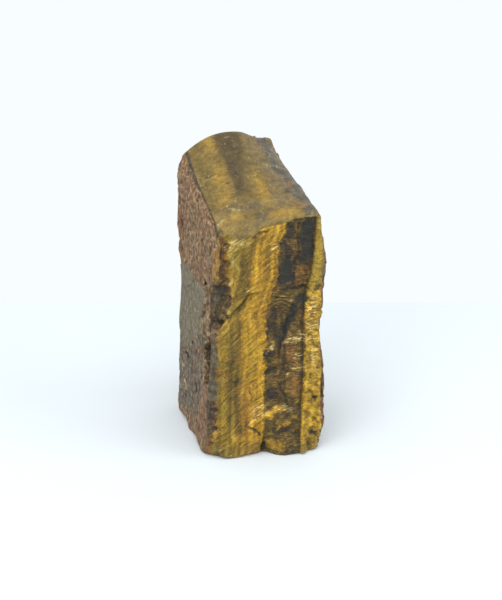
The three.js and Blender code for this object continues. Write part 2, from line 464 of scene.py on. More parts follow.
# The umber spot in the cleft at the foot and the two in the pits of the right gold band are painted shade;
# the rest is dark fibre.
umber_and_painted_shade = only(on_front, spots(
    front_x, front_z,
    (8.4, 70.8, 1.7, 2.6, 0), (6.8, 65.5, 1.6, 3.6, 20), (2.8, 43.5, 1.6, 3.4, -15),
    (3.2, 19.0, 2.4, 2.0, 0), (-0.5, 2.6, 0.5, 3.4, 0), (-8.4, 24.0, 0.7, 1.3, 0),
    (6.0, 7.4, 4.2, 1.2, 0), (14.7, 6.0, 1.9, 0.9, 0), (16.2, 17.3, 1.0, 1.0, 20),
    (10.4, 61.0, 0.9, 6.0, 0), (8.6, 34.0, 0.8, 3.0, 0), (2.4, 27.0, 1.8, 1.2, 0),
    (2.2, 32.0, 1.3, 1.6, 0), (17.2, 53.4, 0.9, 0.5, 40), (-4.3, 21.0, 0.3, 1.6, 0),
    (1.2, 39.0, 0.5, 3.6, 8),
), lines(x, z, (0.3, (-6, 10.2), (-3, 8.6), (-1.4, 7)), (0.3, (1.5, 71.8), (-1.6, 71.2), (-2.8, 69.6))))
rust = only(on_front, spots(
    front_x, front_z,
    (12.2, 57.2, 1.6, 2.8, -10), (-6.0, 15.0, 0.9, 6.0, 4), (-9.3, 57.4, 0.5, 2.8, 0),
    (10.3, 20.5, 2.0, 3.4, 0), (9.6, 31.0, 1.6, 4.0, 0), (5.6, 53.6, 1.6, 0.5, 20),
    (11.8, 43.8, 0.5, 2.6, 10), (1.2, 45.0, 0.8, 1.6, 0), (-12.4, 26.5, 0.9, 2.2, 0),
    (-13.6, 59.0, 0.9, 5.5, 2), (-9.6, 51.6, 0.8, 2.6, 0), (-12.6, 42.6, 1.6, 0.7, 30),
), lines(
    front_x, front_z,
    (0.5, (8.2, 38.4), (7.2, 35.0), (6.4, 31.6), (5.2, 28.6)), (0.35, (5.2, 28.6), (4.5, 25), (4.0, 21)),
))
flake = only(on_front, spots(
    front_x, front_z,
    (-15.4, 34.0, 1.5, 7.6, 0), (-16.0, 23.0, 1.9, 4.2, 12), (-17.4, 17.0, 0.9, 4.0, 6),
    (-13.4, 50.0, 1.0, 3.0, 0),
))
print("points in charcoal:", (charcoal > 0).sum(), "umber:", (umber_and_painted_shade > 0).sum(), "rust:", (rust > 0).sum())

# %% Olive, pale and sparkling patches of the front face, some of them painted shade and highlights

# The olive line down from the top near x -1 to -6 lies on the facet that turns away, and the patch and short
# line near z 45 to 48 lie in the trough below its rim: both are painted shade. The rest is olive fibre.
olive_and_painted_shade = only(on_front, spots(
    front_x, front_z,
    (-5.6, 62.6, 2.4, 1.6, 0), (-6.4, 48.4, 3.6, 1.0, 44), (-8.0, 23.6, 1.8, 2.6, 0),
), lines(
    x, z, (1.3, (-1.4, 70.5), (-3.0, 67.5), (-4.4, 63.5), (-5.2, 60.0), (-5.0, 55), (-5.6, 51.5)),
    (1.0, (-7.0, 47.2), (-10.6, 44.6)), (2.1, (-8.8, 42), (-9.0, 36), (-8.9, 26), (-9.0, 18), (-8.6, 9)),
))
greenish = only(on_front, lines(
    x, z, (2.0, (-6.4, 66), (-7.0, 58), (-7.0, 50)),
    (1.0, (-11.4, 41), (-11.2, 30), (-11.4, 16), (-11.4, 4)),
    (0.7, (-3.6, 38), (-3.4, 26)), (0.5, (2.6, 72), (1.6, 64), (1.2, 56)),
))
# The thin pale lines along the upper edge of the trough, near z 46 to 52, and of the gold tongue, near z 11
# to 13, are painted highlights; the rest are pale chips.
pale_and_painted_highlight = only(on_front, spots(
    front_x, front_z,
    (-7.4, 68.2, 2.4, 0.8, 8), (-8.6, 66.4, 1.4, 0.7, -10), (-6.0, 66.6, 1.0, 0.4, 30),
    (-9.7, 54.3, 0.5, 1.0, 0), (-9.8, 49.9, 0.4, 0.8, 0), (-9.8, 46.4, 0.4, 0.7, 0),
    (-17.0, 6.4, 1.0, 0.9, 0), (-14.2, 2.8, 1.6, 0.6, -20), (-14.7, 20.9, 0.5, 0.7, 0),
    (-11.0, 1.8, 1.4, 0.4, -10),
), lines(
    front_x, front_z, (0.5, (-9.2, 65.0), (-8.8, 63.0), (-8.4, 61.0)),
    (0.15, (-10, 45.6), (-6.4, 49.8), (-4.6, 51.6)), (0.2, (-4.8, 11.2), (-2.2, 12.6), (0.4, 13.2)),
))
# Painted highlights: these patches are painted with white sparkles, and also get more glossy cells and fine
# ledges.
painted_sparkles = only(on_front, spots(
    front_x, front_z,
    (-3.6, 52.2, 1.3, 0.9, 20), (-4.2, 53.7, 0.7, 0.5, 0), (10.8, 37.0, 2.0, 1.4, 0),
    (11.1, 27.2, 1.9, 1.2, 0), (11.2, 31.0, 1.2, 0.5, 0), (6.0, 14.2, 2.2, 0.6, -10),
    (14.8, 42.0, 1.6, 6.4, 0), (9.8, 24.4, 0.8, 0.3, 0), (-1.6, 14.6, 2.0, 1.4, 20),
    (4.0, 66.5, 1.0, 1.0, 0), (6.6, 49.0, 1.8, 0.5, 10), (-8.6, 67.0, 1.2, 0.5, 8),
    (16.0, 31.0, 0.9, 3.4, 0), (2.6, 35.0, 0.9, 1.6, 0), (8.0, 36.4, 1.0, 1.4, 0),
))
print("points in olive:", (olive_and_painted_shade > 0).sum(), "pale:", (pale_and_painted_highlight > 0).sum(), "sparkling:", (painted_sparkles > 0).sum())

# %% [markdown]
# ## Patches of the back
#
# The back is a fresh break too. Its bands come from the sheets, so only its own stains are added, and
# soft waves of noise place them well enough there.

# %% Patches of the back

back_bands = np.abs(x + 8.6 + 1.4 * waves(smooth_skin, 9, 351) + drift)
olive_and_painted_shade = np.maximum(olive_and_painted_shade, only(on_back, 1.7 - back_bands))
back_dark = np.minimum(in_dark - 1.5, 3.4 * waves(smooth_skin * (1, 1, 0.3), 5, 353, 2) - 0.6)
charcoal = np.maximum(charcoal, only(on_back, np.minimum(back_dark, -0.5 - in_strip)))
rust = np.maximum(rust, only(on_back, 3 * waves(smooth_skin * (1, 1, 0.5), 6, 355, 2) - 1.2))
pale_and_painted_highlight = np.maximum(pale_and_painted_highlight, only(on_back, 2 * waves(smooth_skin * (0.4, 1, 1), 2.2, 357, 2) - 1.3))
print("points of the back:", (on_back > 0.5).sum())

# %% [markdown]
# ## Patches of the worn top
#
# Years of weather smoothed the top and dulled it. The bands show through as soft stripes, with a
# greyish haze of painted sheen over them on the right, a painted grey sheen along that edge, a few
# orange and pitted spots, and small bright scratches. The scratches come from a random generator with
# a fixed seed.

# %% Stripes, painted sheen and spots of the worn top

stripe = only(on_top, np.minimum(
    np.minimum(top_x - np.interp(y, (-8, 0, 10, 23), (-4.8, -5.2, -5.8, -6.4)), (y + 6) * 0.25),
    (np.interp(y, (-8, 3, 12, 22), (-1.6, -1.0, 0.2, 1.4)) - top_x) * 0.4,
))
faint_stripe = only(on_top, np.minimum(
    top_x - np.interp(y, (-20, -8, 0, 20), (-3.4, -4.6, -5.0, -4.0)),
    np.interp(y, (-20, -8, 2, 20), (1.6, 0.2, 1.6, 5.0)) - top_x,
))
# Painted sheen: a greyish haze over the right of the top and over a patch near its front.
painted_haze_sheen = only(on_top, np.minimum(top_x - np.interp(y, (-15, -9, 0, 8, 23), (2.5, 4.5, 5.5, 3.0, 1.5)), y + 15),
    spots(top_x, top_y, (-5.0, -11.6, 7.0, 1.5, 0)))
# Painted sheen: a grey band along the right shoulder of the top.
painted_grey_sheen = only(on_top, np.minimum(
    top_x - np.interp(y, (-20, -5, 3, 10, 22), (13.4, 11.2, 9.8, 8.0, 6.0)),
    np.interp(y, (4, 9, 22), (18.0, 12.0, 10.6)) - top_x,
), spots(top_x, top_y, (10.0, 5.0, 2.2, 2.6, 0), (11.0, -6.0, 1.6, 1.4, 0)))
bright = only(on_top, spots(
    top_x, top_y, (2.4, -3.6, 1.9, 6.0, 4), (-1.8, -4.0, 1.4, 4.0, 0), (7.5, -17.0, 5.0, 2.4, 8),
    (-8.6, 20.0, 1.6, 5.0, 0),
    (-8.2, 3.0, 2.0, 5.0, 0), (-9.0, -6.0, 1.6, 3.0, 0),
    (-7.0, -14.2, 4.0, 1.6, 0), (3.6, -9.0, 2.0, 3.6, 10),
))
orange = only(on_top, spots(
    top_x, top_y, (11.8, -3.2, 0.9, 1.6, 0), (12.4, -13.6, 2.6, 0.8, -30), (14.0, -15.2, 0.8, 1.0, 20),
    (9.4, -11.4, 1.2, 0.5, 0),
), lines(top_x, top_y, (0.3, (11.8, 18), (12.2, 10))))
pitted = only(on_top, spots(
    top_x, top_y, (-12.7, -16.2, 0.9, 0.8, 0), (-11.2, 6.0, 1.3, 0.6, 0), (-6.8, 0.6, 0.8, 0.5, 0),
), lines(
    top_x, top_y,
    (0.15, (9.8, -12.4), (11.4, -13.6)), (0.2, (11.6, -14.2), (13.4, -15.0)),
    (0.15, (11.0, -1.6), (11.4, -3.6)),
))
smudge = only(on_top, spots(
    top_x, top_y, (0.4, -17.0, 2.0, 2.2, 0), (3.0, -18.4, 1.2, 0.8, 0), (-3.0, -12.6, 2.6, 1.2, 10),
))
print("points of the worn top:", (in_worn > 0).sum(), "in its dark stripe:", (stripe > 0).sum())

# %% Scratches and veins of the worn top

SCRATCHES, SCRATCH_HALF_WIDTH = 60, 0.10
scratch_numbers = np.random.default_rng(7).random((SCRATCHES, 4))
scratch_numbers = scratch_numbers * (26, 40, 2.0, math.pi) - (15, 20, -0.4, 0)
scratches = [
    (SCRATCH_HALF_WIDTH, (sx, sy), (sx + length * math.cos(turn), sy + length * math.sin(turn)))
    for sx, sy, length, turn in scratch_numbers.tolist()
]
veins = only(on_top, lines(top_x, top_y, *scratches), lines(
    top_x, top_y,
    (0.16, (-13.6, -14.6), (-11.4, -13.9), (-10.4, -14.2)),
    (0.14, (-8.4, -11.2), (-6.0, -12.4), (-4.0, -13.2)), (0.14, (-7.8, -11.6), (-7.0, -13.0), (-5.6, -12.6)),
    (0.12, (-14.2, 11.8), (-11.0, 11.4), (-9.4, 11.0)), (0.12, (-11.8, 17.6), (-11.2, 15.4)),
    (0.12, (-14.0, 7.6), (-12.9, 5.4)), (0.12, (-13.4, 4.0), (-13.0, 1.6)),
    (0.14, (-3.4, -11.6), (-2.0, -13.8)), (0.12, (-4.0, 20.2), (-2.2, 20.0)),
    (0.12, (-9.2, 10.6), (-8.6, 9.6)),
))
print("points in scratches and veins:", (veins > 0).sum())

# %% [markdown]
# ## Patches of the left wall
#
# The ironstone wall is rusty brown. A smoother grey plate is left on it half way up, where another
# layer came away, with blue-grey and rust below the plate, a crevice beside the front edge that is
# painted near-black as shade, and a few beige crumbs.

# %% Plate, stains and crevice of the left wall

plate_front = np.interp(
    wall_z, (20, 24, 36, 38, 43, 45, 48, 51, 55), (-9.4, -10, -9.8, -8, -7.5, -9.0, -12, -8, -4)
)
plate_top = np.interp(wall_y, (-14, -8, -2, 2, 8, 14, 21), (48.5, 51.5, 50.5, 49.5, 51.5, 50.5, 48.5))
plate_foot = np.interp(wall_y, (-10, -6, 2, 5, 8, 16, 22), (36, 34, 31, 27, 25.5, 24, 27))
plate = only(on_left, np.minimum.reduce((wall_y - plate_front, plate_top - wall_z, wall_z - plate_foot)))
below_plate = np.minimum.reduce((plate_foot - wall_z, wall_y + 9, wall_z - np.interp(y, (-9, 22), (8, 2))))
blued = only(on_left, below_plate, spots(wall_y, wall_z, (-12.6, 62.6, 1.2, 0.7, 30)))
rust_streaks = np.minimum(3.2 * waves(smooth_skin * (1, 1, 0.26), 3.6, 343, 2) - 0.5, 30 - z)
rusty = only(on_left, 2.6 * waves(smooth_skin * (1, 1, 0.45), 7, 341, 2) - 0.7, rust_streaks)
wall_dark = only(on_left, lines(
    wall_y, wall_z, (0.2, (0.5, 76), (2, 73), (3.6, 70), (4.5, 67)), (0.3, (12, 44), (9.6, 46.5)),
    (0.5, (13.0, 60.6), (11.0, 64.4)), (0.4, (19.4, 55), (18.2, 52)),
), spots(
    wall_y, wall_z, (-12.8, 51.6, 1.6, 1.2, -30), (-8.6, 52.8, 1.4, 1.8, 20), (3.0, 29.0, 1.6, 1.0, 0),
    (10.0, 22.0, 4.0, 1.4, 0), (-3.6, 16.0, 2.0, 1.2, 30), (-16.0, 44.0, 2.4, 5.0, 0),
))
# Painted shade: the crevice is sunk and also painted near-black.
crevice_with_painted_shade = only(on_left, spots(wall_y, wall_z, (-14.6, 30.0, 5.2, 8.6, 0), (-16.0, 46.0, 1.6, 6.0, 0)))
beige = only(on_left, spots(
    wall_y, wall_z, (19.0, 9.0, 3.0, 0.9, 10), (16.0, 17.0, 2.6, 0.7, 0), (-8.2, 40.6, 0.4, 1.2, 20),
    (0.4, 41.6, 0.8, 0.3, 0), (-2.8, 41.2, 0.6, 0.3, 0), (8.0, 44.2, 0.8, 0.3, 20),
    (13.6, 47.2, 1.2, 0.3, 10), (20.5, 18.0, 0.8, 0.4, 0), (-4.0, 18.6, 1.6, 0.4, 30),
    (10.0, 12.6, 3.0, 0.5, 10),
))
print("points of the plate:", (plate > 0).sum(), "and of the crevice:", (crevice_with_painted_shade > 0).sum())

# %% [markdown]
# ## Relief
#
# A fresh break follows the fibres: it leaves combed ridges along them, flakes that end in small steps,
# and shallow scars with sharp rims. In the gold band the fibres rise to the right, and they level out
# at the edge of the dark band. The worn top keeps only long soft swells. The ironstone wall is pitted,
# with the pits drawn out upwards, apart from one smooth grey plate half way up.

# %% Fibre coordinates

COMB_SLOPE, COMB_LEVEL, COMB_TURN = 0.75, 0.06, 1.1
from_edge = (in_dark + 1.0) / COMB_TURN
rise = COMB_LEVEL * x - COMB_SLOPE * COMB_TURN * np.logaddexp(0, -from_edge)
over_fibres = z - rise + 0.7 * waves(smooth_skin, 7, 41) + 0.25 * waves(smooth_skin, 2.2, 42)
fibre_space = np.stack((x * 0.22, y * 0.4, over_fibres), -1)
print("height over the fibres, mm: from", over_fibres.min().round(1), "to", over_fibres.max().round(1))

# %% Shares of each kind of surface

worn = smooth(-0.3, 0.3, in_worn)
wall = smooth(-0.3, 0.5, in_wall) * (1 - worn)
rind = smooth(0, 0.5, in_rind) * (1 - worn)
scoop = smooth(0, 0.6, in_scoop) * (1 - worn) * (1 - wall)
fresh = np.clip(1 - worn - wall, 0, 1) * (1 - rind)
shares = {"fresh": fresh, "worn": worn, "wall": wall, "rind": rind}
print("mean shares:", {kind: round(float(share.mean()), 2) for kind, share in shares.items()})

# %% Relief of the fresh break, in mm outwards

warped = smooth_skin + 1.2 * np.stack([waves(smooth_skin, 5, 54 + k) for k in range(3)], -1)
warped_fibres = fibre_space + 0.25 * np.stack([waves(smooth_skin, 3, 154 + k) for k in range(3)], -1)
combed = 0.05 * waves(fibre_space, 0.9, 51, 2)
shingle_place = (over_fibres + 1.3 * waves(smooth_skin, 6, 52, 2)) / 3.2
shingles = 0.2 * ((shingle_place % 1) ** 1.5 - 0.4) * smooth(-0.1, 0.6, waves(smooth_skin, 8, 53))
big_scars = (1.0 + 0.9 * on_back) * scars(warped * (1.0, 1.0, 0.75), 8.0, 57)
flaked = 0.13 * splinters(warped_fibres, 1.5, 201)
small_flakes = 0.07 * splinters(warped_fibres, 0.75, 231)
chips = 0.28 * scars(warped, 2.2, 61) * smooth(-0.2, 0.5, waves(smooth_skin, 6, 64))
chips += 0.4 * scars(warped, 3.2, 66) * smooth(16, 8, z)
back_ledges = 0.5 * splinters(warped_fibres * (1, 1, 0.7), 4.0, 361, 1.6) * on_back
fresh_relief = combed + shingles + big_scars + flaked + small_flakes + chips + back_ledges
print("relief of the break, mm: from", fresh_relief.min().round(2), "to", fresh_relief.max().round(2))

# %% [markdown]
# ## Relief placed one by one
#
# Some steps and hollows stand in known places: the trough high on the left, the bowl with its rings in
# the dark band, the tongue of gold that laps over it low down, the cleft at the foot, and the cracks
# along the bands. Each is its own formula, so it can be moved without disturbing the rest.

# %% Relief placed on the front face

trough_top = np.interp(front_x, (-13, -10, -6, -4, -2), (44.0, 46.0, 50.0, 52.3, 52.6))
trough_foot = np.interp(front_x, (-13, -8, -3, 0), (41.4, 43.6, 46.0, 47.0))
up_trough = (front_z - trough_foot) / (trough_top - trough_foot)
trough = -1.9 * np.clip(up_trough, 0, 1) ** 1.5 * smooth(1.06, 0.98, up_trough) * smooth(-0.5, -3.5, front_x)
plateau = 0.35 * smooth(0.1, -0.3, up_trough) * smooth(1, -2, front_x)
seam_crack = -0.3 * np.exp(-((in_strip / 0.25) ** 2)) + 0.6 * smooth(-0.3, 0.5, in_strip)
tongue_top = np.interp(front_x, (-7, -4.8, 0.4, 5.2, 7), (9.6, 11.2, 13.2, 15.4, 15.0))
tongue = 0.9 * smooth(0.2, -0.2, front_z - tongue_top)
tongue = tongue * smooth(8, 6, x) * smooth(-7, -5, x) * smooth(1, 6, z)
bowl = -1.1 * smooth(0, 2.6, spots(x, z, (5.8, 47.0, 4.2, 4.8, 0)))
around_bowl = np.hypot(x - 5.6, z - 41.5) + 0.3 * waves(smooth_skin, 2, 65)
arcs = 0.2 * np.sin(2 * np.pi * around_bowl / 1.2) * smooth(0.2, 1.2, spots(x, z, (5.8, 47.2, 4.0, 4.4, 0)))
cleft = -0.9 * np.exp(-(((x + 0.4) / (0.35 + 0.1 * np.maximum(6 - z, 0))) ** 2)) * smooth(6.5, 1.0, z)
sunk_dark = -0.6 * smooth(-0.5, 0.5, in_dark) * smooth(0.2, -0.2, in_strip)
crack_lines = lines(
    front_x, front_z, (0.35, (9.0, 52.9), (12.5, 53.0), (13.8, 52.2)),
    (0.2, (13.8, 52.2), (15.4, 51.2), (17.6, 53.4)), (0.3, (-6, 10.2), (-3, 8.6), (-1.4, 7)),
    (0.5, (9.6, 47.6), (8.6, 44), (6.9, 41), (6.2, 36), (5.2, 30)),
    (0.3, (11.1, 74), (11.0, 66), (10.4, 60), (9.8, 53)),
    (0.3, (2.0, 71.9), (-1.6, 71.3), (-2.8, 69.9)), (0.3, (7.6, 36), (7.6, 26), (7.2, 18)),
)
cracks = -0.55 * smooth(-0.1, 0.35, crack_lines)
LEDGE_PITCH = 0.95
ledges = 0.22 * ((z / LEDGE_PITCH + 0.6 * waves(smooth_skin, 3, 67)) % 1)
ledges = ledges * smooth(-0.5, 0.5, painted_sparkles) * (x > 2) * (x < 12.6)
pit = -0.9 * smooth(0, 0.6, spots(front_x, front_z, (16.2, 17.3, 1.0, 1.0, 20), (14.7, 6.0, 1.6, 0.7, 0)))
placed = trough + plateau + seam_crack + tongue + bowl + arcs + cleft + sunk_dark + cracks + ledges + pit
print("relief placed by hand, mm: from", placed.min().round(2), "to", placed.max().round(2))

# %% Calm areas, and the coarse grain of the gold band on the right

strip_grain = 0.1 * splinters(warped, 1.3, 261) + 0.3 * splinters(warped, 3.2, 271, 1.6)
strip_grain = strip_grain * smooth(0, 0.6, in_strip) * smooth(54, 48, z) * on_front
calm = np.maximum(0.75 * smooth(-0.2, 0.6, charcoal), 0.7 * smooth(-0.2, 0.5, flake))
calm = np.maximum(calm, 0.6 * smooth(0, 0.6, in_strip) * smooth(50, 55, z) * on_front)
fresh_relief = fresh_relief * (1 - calm) * (1 - 0.5 * scoop) + placed * on_front + strip_grain
print("share of the front kept calm:", (calm * on_front).mean().round(3))

# %% [markdown]
# ## Relief of the walls and the worn top
#
# The ironstone is a crust of grains with pits between them, both drawn out upwards, so the same noise
# is read in a space squeezed along z. The plate keeps almost none of it. The worn top has only soft
# swells, a little pitting at its orange spots, and bumps along its right shoulder.

# %% Relief of the walls and the worn top

grain_drift = 0.3 * np.stack([waves(smooth_skin, 3, 68 + k) for k in range(3)], -1)
grain_space = smooth_skin * (1, 1, 0.42) + grain_drift
pits = np.maximum(waves(grain_space, 1.3, 71, 2) - 0.05, 0)
wall_grain = 0.2 * waves(grain_space, 2.4, 75, 3) - 0.8 * pits + 0.14 * splinters(grain_space, 1.1, 291)
plate_share = smooth(-0.1, 0.2, plate)
low_wall = smooth(30, 22, z + 3 * waves(smooth_skin, 5, 74))
wall_relief = wall_grain * (1 - 0.45 * low_wall) * (1 - plate_share)
plate_relief = 0.12 + 0.35 * smooth(-4, -8, wall_y) + 0.08 * waves(grain_space, 2, 78, 2)
wall_relief += plate_share * (plate_relief - 0.4 * smooth(0, 0.3, wall_dark))
before_plate = smooth(0.3, -0.3, wall_y - plate_front) * smooth(22, 24, wall_z) * smooth(56, 52, wall_z)
sunk = -0.5 * before_plate - 2.4 * smooth(0, 1.4, crevice_with_painted_shade) * smooth(0.3, -0.5, wall_y - plate_front)
wall_swell = 0.5 * waves(smooth_skin * (1, 1, 0.6), 9, 79, 2) + 0.35 * scars(warped * (1, 1, 0.5), 6, 80)
wall_cracks = -0.7 * smooth(-0.1, 0.4, wall_dark) * (1 - plate_share)
worn_relief = 0.22 * waves(smooth_skin, 8, 81, 2) + 0.05 * waves(smooth_skin * (0.4, 1, 1), 1.2, 83, 2)
worn_relief += -0.25 * smooth(-0.2, 0.4, pitted) - 0.25 * smooth(0, 0.5, orange) * (0.3 + 2 * pits)
nub = 1.0 * np.exp(-((x - 10.6) ** 2 + (y - 21.4) ** 2) / 1.4) * (z > 70)
shoulder_bumps = 0.5 * waves(smooth_skin, 5, 85, 2) * smooth(6, 10, x) * on_top
rind_relief = 0.45 * waves(smooth_skin, 5, 91, 3) - 0.5 * pits
rind_relief += 0.35 * splinters(warped * (1, 1, 0.5), 6.0, 321, 1.6)
print("relief of the wall, mm: from", wall_relief.min().round(2), "to", wall_relief.max().round(2))

# %% All the relief, moved straight out of the skin and levelled off at the foot

FOOT_LEVEL = 1.2
relief = fresh * fresh_relief + wall * (wall_relief + wall_cracks) + worn * worn_relief + rind * rind_relief
relief = relief + wall * (wall_swell + sunk) + nub + worn * shoulder_bumps
skin = smooth_skin + outwards * (relief * smooth(0.0, FOOT_LEVEL, z))[:, None]
skin[:, 2] = np.maximum(skin[:, 2], 0)
print("relief, mm: from", relief.min().round(2), "to", relief.max().round(2))

# %% [markdown]
# ## Creases and edges
#
# Creases get painted shade and edges a painted highlight. Where a vertex stands against the mean of
# those around it tells one from the other, so that difference is kept as one more number for the material.

# %% Creases and edges, for the painted shade and highlights

EVENING_ROUNDS = 4


def neighbours_mean(values, quads):
    """The mean of each vertex's neighbours along the quads' edges."""
    start, end = quads.ravel(), np.roll(quads, -1, axis=1).ravel()
    counts = np.bincount(start, minlength=len(values)) + np.bincount(end, minlength=len(values))
    total = [
        np.bincount(start, values[end, k], len(values)) + np.bincount(end, values[start, k], len(values))
        for k in range(values.shape[1])
    ]
    return np.stack(total, -1) / counts[:, None]


evened = skin
for _ in range(EVENING_ROUNDS):
    evened = neighbours_mean(evened, quads)
hollow = ((evened - skin) * outwards).sum(1)
print("creases, mm:", np.percentile(hollow, (1, 50, 99)).round(3))

# %% [markdown]
# ## One mesh
#
# The grid becomes a mesh in metres. Each zone's distance is written to its vertices under the zone's
# name, so that the material can find it, and patches of the top or the wall are cut back to them.

# %% Two helpers: a mesh, and a number on each vertex


def mesh_from(name, points, faces):
    """A smooth-shaded mesh object from arrays of points in mm and quads of indices."""
    mesh = bpy.data.meshes.new(name)
    mesh.from_pydata((points * MM).tolist(), [], faces.tolist())
    mesh.shade_smooth()
    piece = bpy.data.objects.new(name, mesh)
    bpy.context.collection.objects.link(piece)
    return piece


def write_attribute(piece, name, values):
    """Puts one number, or one vector, on each vertex under a name that a material can read."""
    kind = "FLOAT" if values.ndim == 1 else "FLOAT_VECTOR"
    attribute = piece.data.attributes.new(name, kind, "POINT")
    attribute.data.foreach_set("value" if values.ndim == 1 else "vector", values.astype(np.float32).ravel())


print("vertices to write to:", len(skin))

# %% The distances of all zones

upright = outwards[:, 2] < 0.5
# Upright faces are painted darker towards the foot.
below_foot_line = 4.4 - z + 1.4 * waves(smooth_skin, 4, 381, 2)
RIM_HALF = 0.4
in_rim = RIM_HALF - np.abs(in_scoop - RIM_HALF)
distances = {
    "gold": left_depth - 9 + 2.5 * waves(smooth_skin * (1, 1, 0.5), 8, 99),
    "greenish": greenish,
    "olive_and_painted_shade": olive_and_painted_shade,
    "stained": np.where(upright, -0.15, NOWHERE),
    "in_dark": np.minimum(in_dark, -tongue_gold),
    "in_strip": in_strip,
    "dull_strip": np.minimum(in_strip, (z - 52) * 0.3),
    "umber_and_painted_shade": umber_and_painted_shade,
    "charcoal": charcoal,
    "rust": rust,
    "pale_and_painted_highlight": pale_and_painted_highlight,
    "darker_near_foot": np.minimum(below_foot_line, np.where(upright, 2.0, NOWHERE)),
    "section": in_section,
    "scoop": in_scoop,
    "rim": np.where((cut_back > 0.02) & (on_front > 0), in_rim, -2.0),
    "flake": flake,
    "painted_sparkles": painted_sparkles,
    "worn": in_worn,
    "edge_line": np.minimum(in_worn + 0.2, 0.9 - x - crust_line(y)),
    "wall": in_wall,
    "in_rind": in_rind,
    "rind_grey": np.minimum(in_rind - 0.3, 6 * waves(smooth_skin * (1, 1, 0.6), 14, 371, 2) + 0.3),
    "rind_rust": np.minimum(in_rind - 0.3, 4 * waves(smooth_skin * (1, 1, 0.5), 8, 375, 2) - 1.2),
}
top_patches = {
    "bright": bright, "faint_stripe": faint_stripe, "stripe": stripe, "painted_haze_sheen": painted_haze_sheen, "painted_grey_sheen": painted_grey_sheen,
    "smudge": smudge, "pitted": pitted, "orange": orange, "veins": veins,
}
wall_patches = {
    "blued": blued, "rusty": rusty, "plate": plate, "wall_dark": wall_dark, "crevice_with_painted_shade": crevice_with_painted_shade,
    "beige": beige,
}
distances |= {name: np.minimum(patch, in_worn) for name, patch in top_patches.items()}
distances |= {name: np.minimum(patch, in_wall) for name, patch in wall_patches.items()}
print("zone distances:", len(distances))

# %% Build the stone

stone = mesh_from("tigers_eye_block", skin, quads)
for name, values in distances.items():
    write_attribute(stone, name, values)
# How far each vertex sits below its neighbours, read by the material for painted crease shade and edge
# highlights.
write_attribute(stone, "hollow", hollow)
write_attribute(stone, "fibre_space", fibre_space)
write_attribute(stone, "sheet_space", np.stack((in_dark * 0.8, y * 0.15, z * 0.05), -1))
print("attributes:", len(stone.data.attributes))
corners = skin[quads]
volume = np.einsum("ij,ij->i", corners[:, 0], np.cross(corners[:, 1], corners[:, 2])).sum()
volume += np.einsum("ij,ij->i", corners[:, 0], np.cross(corners[:, 2], corners[:, 3])).sum()
MM3_TO_CM3 = 0.001
print("volume, cm3:", round(volume / 6 * MM3_TO_CM3, 1))

# %% [markdown]
# ## Colours and nodes
#
# Colours are written as sRGB hex and turned linear once. One function adds a node, sets it up and
# returns the output that the next node needs.

# %% Helpers for materials


def linear(hex_colour):
    """An sRGB hex colour as linear red, green, blue and 1 for opaque."""
    channels = [int(hex_colour[i : i + 2], 16) / 255 for i in (1, 3, 5)]
    return tuple(c / 12.92 if c <= 0.04045 else ((c + 0.055) / 1.055) ** 2.4 for c in channels) + (1.0,)


def add_node(tree, kind, inputs, output=0, stops=(), **settings):
    """A new node with its settings, its inputs set or joined and its ramp's stops; gives one output."""
    node = tree.nodes.new(kind)
    for name, value in settings.items():
        setattr(node, name, value)
    for slot, value in inputs.items():
        if isinstance(value, bpy.types.NodeSocket):
            tree.links.new(value, node.inputs[slot])
        else:
            node.inputs[slot].default_value = value
    for k, (at, hex_colour) in enumerate(stops):
        stop = node.color_ramp.elements[k] if k < 2 else node.color_ramp.elements.new(at)
        stop.position, stop.color = at, linear(hex_colour)
    return node.outputs[output]


def new_material(name):
    """An empty node material, its tree and its surface shader."""
    material = bpy.data.materials.new(name)
    material.use_nodes = True
    return material, material.node_tree, material.node_tree.nodes["Principled BSDF"]


# %% [markdown]
# ## Tiger's eye
#
# Tiger's eye is quartz, with an IOR of 1.54, and rough breaks in it shine like silk where they follow
# the fibres. Each zone has three colours, dark to light, and a pattern spreads them: streaks along the
# fibres on a fresh break, grains on ironstone, and soft smudges on the worn top. The zones are laid
# over each other from first to last, each cut off at its own distance plus a ragged noise.

# %% Patterns, with their sizes in mm

# Each scale is one over a size in mm: bundles of fibres 0.4 mm wide, flakes and crust grains 0.7 mm,
# weather stains 2 mm, glints 0.3 mm across the fibres. Single fibres are too fine to show.
material, tree, shader = new_material("tigers_eye_broken_and_worn")
place = add_node(tree, "ShaderNodeTexCoord", {}, "Object")
in_mm = add_node(tree, "ShaderNodeVectorMath", {0: place, 3: 1 / MM}, operation="SCALE")
drawn_up = add_node(tree, "ShaderNodeVectorMath", {0: in_mm, 1: (1, 1, 0.4)}, operation="MULTIPLY")
fibres = add_node(tree, "ShaderNodeAttribute", {}, "Vector", attribute_name="fibre_space")
noise = "ShaderNodeTexNoise"
fine_streaks = add_node(
    tree, noise, {"Vector": fibres, "Scale": 2.6, "Detail": 3.0, "Roughness": 0.65, "Distortion": 0.4}
)
flake_tone = add_node(tree, "ShaderNodeTexVoronoi", {"Vector": fibres, "Scale": 1.5}, "Color")
grains = add_node(tree, noise, {"Vector": drawn_up, "Scale": 1.5, "Detail": 4.0, "Roughness": 0.7})
smudges = add_node(tree, noise, {"Vector": in_mm, "Scale": 0.5, "Detail": 6.0, "Roughness": 0.7})
ragged = add_node(tree, noise, {"Vector": in_mm, "Scale": 0.8, "Detail": 4.0, "Roughness": 0.65})
specks = add_node(tree, noise, {"Vector": in_mm, "Scale": 2.2, "Detail": 2.0, "Roughness": 0.6})
glints = add_node(tree, "ShaderNodeTexVoronoi", {"Vector": fibres, "Scale": 3.0}, "Color")
sheets = add_node(tree, "ShaderNodeAttribute", {}, "Vector", attribute_name="sheet_space")
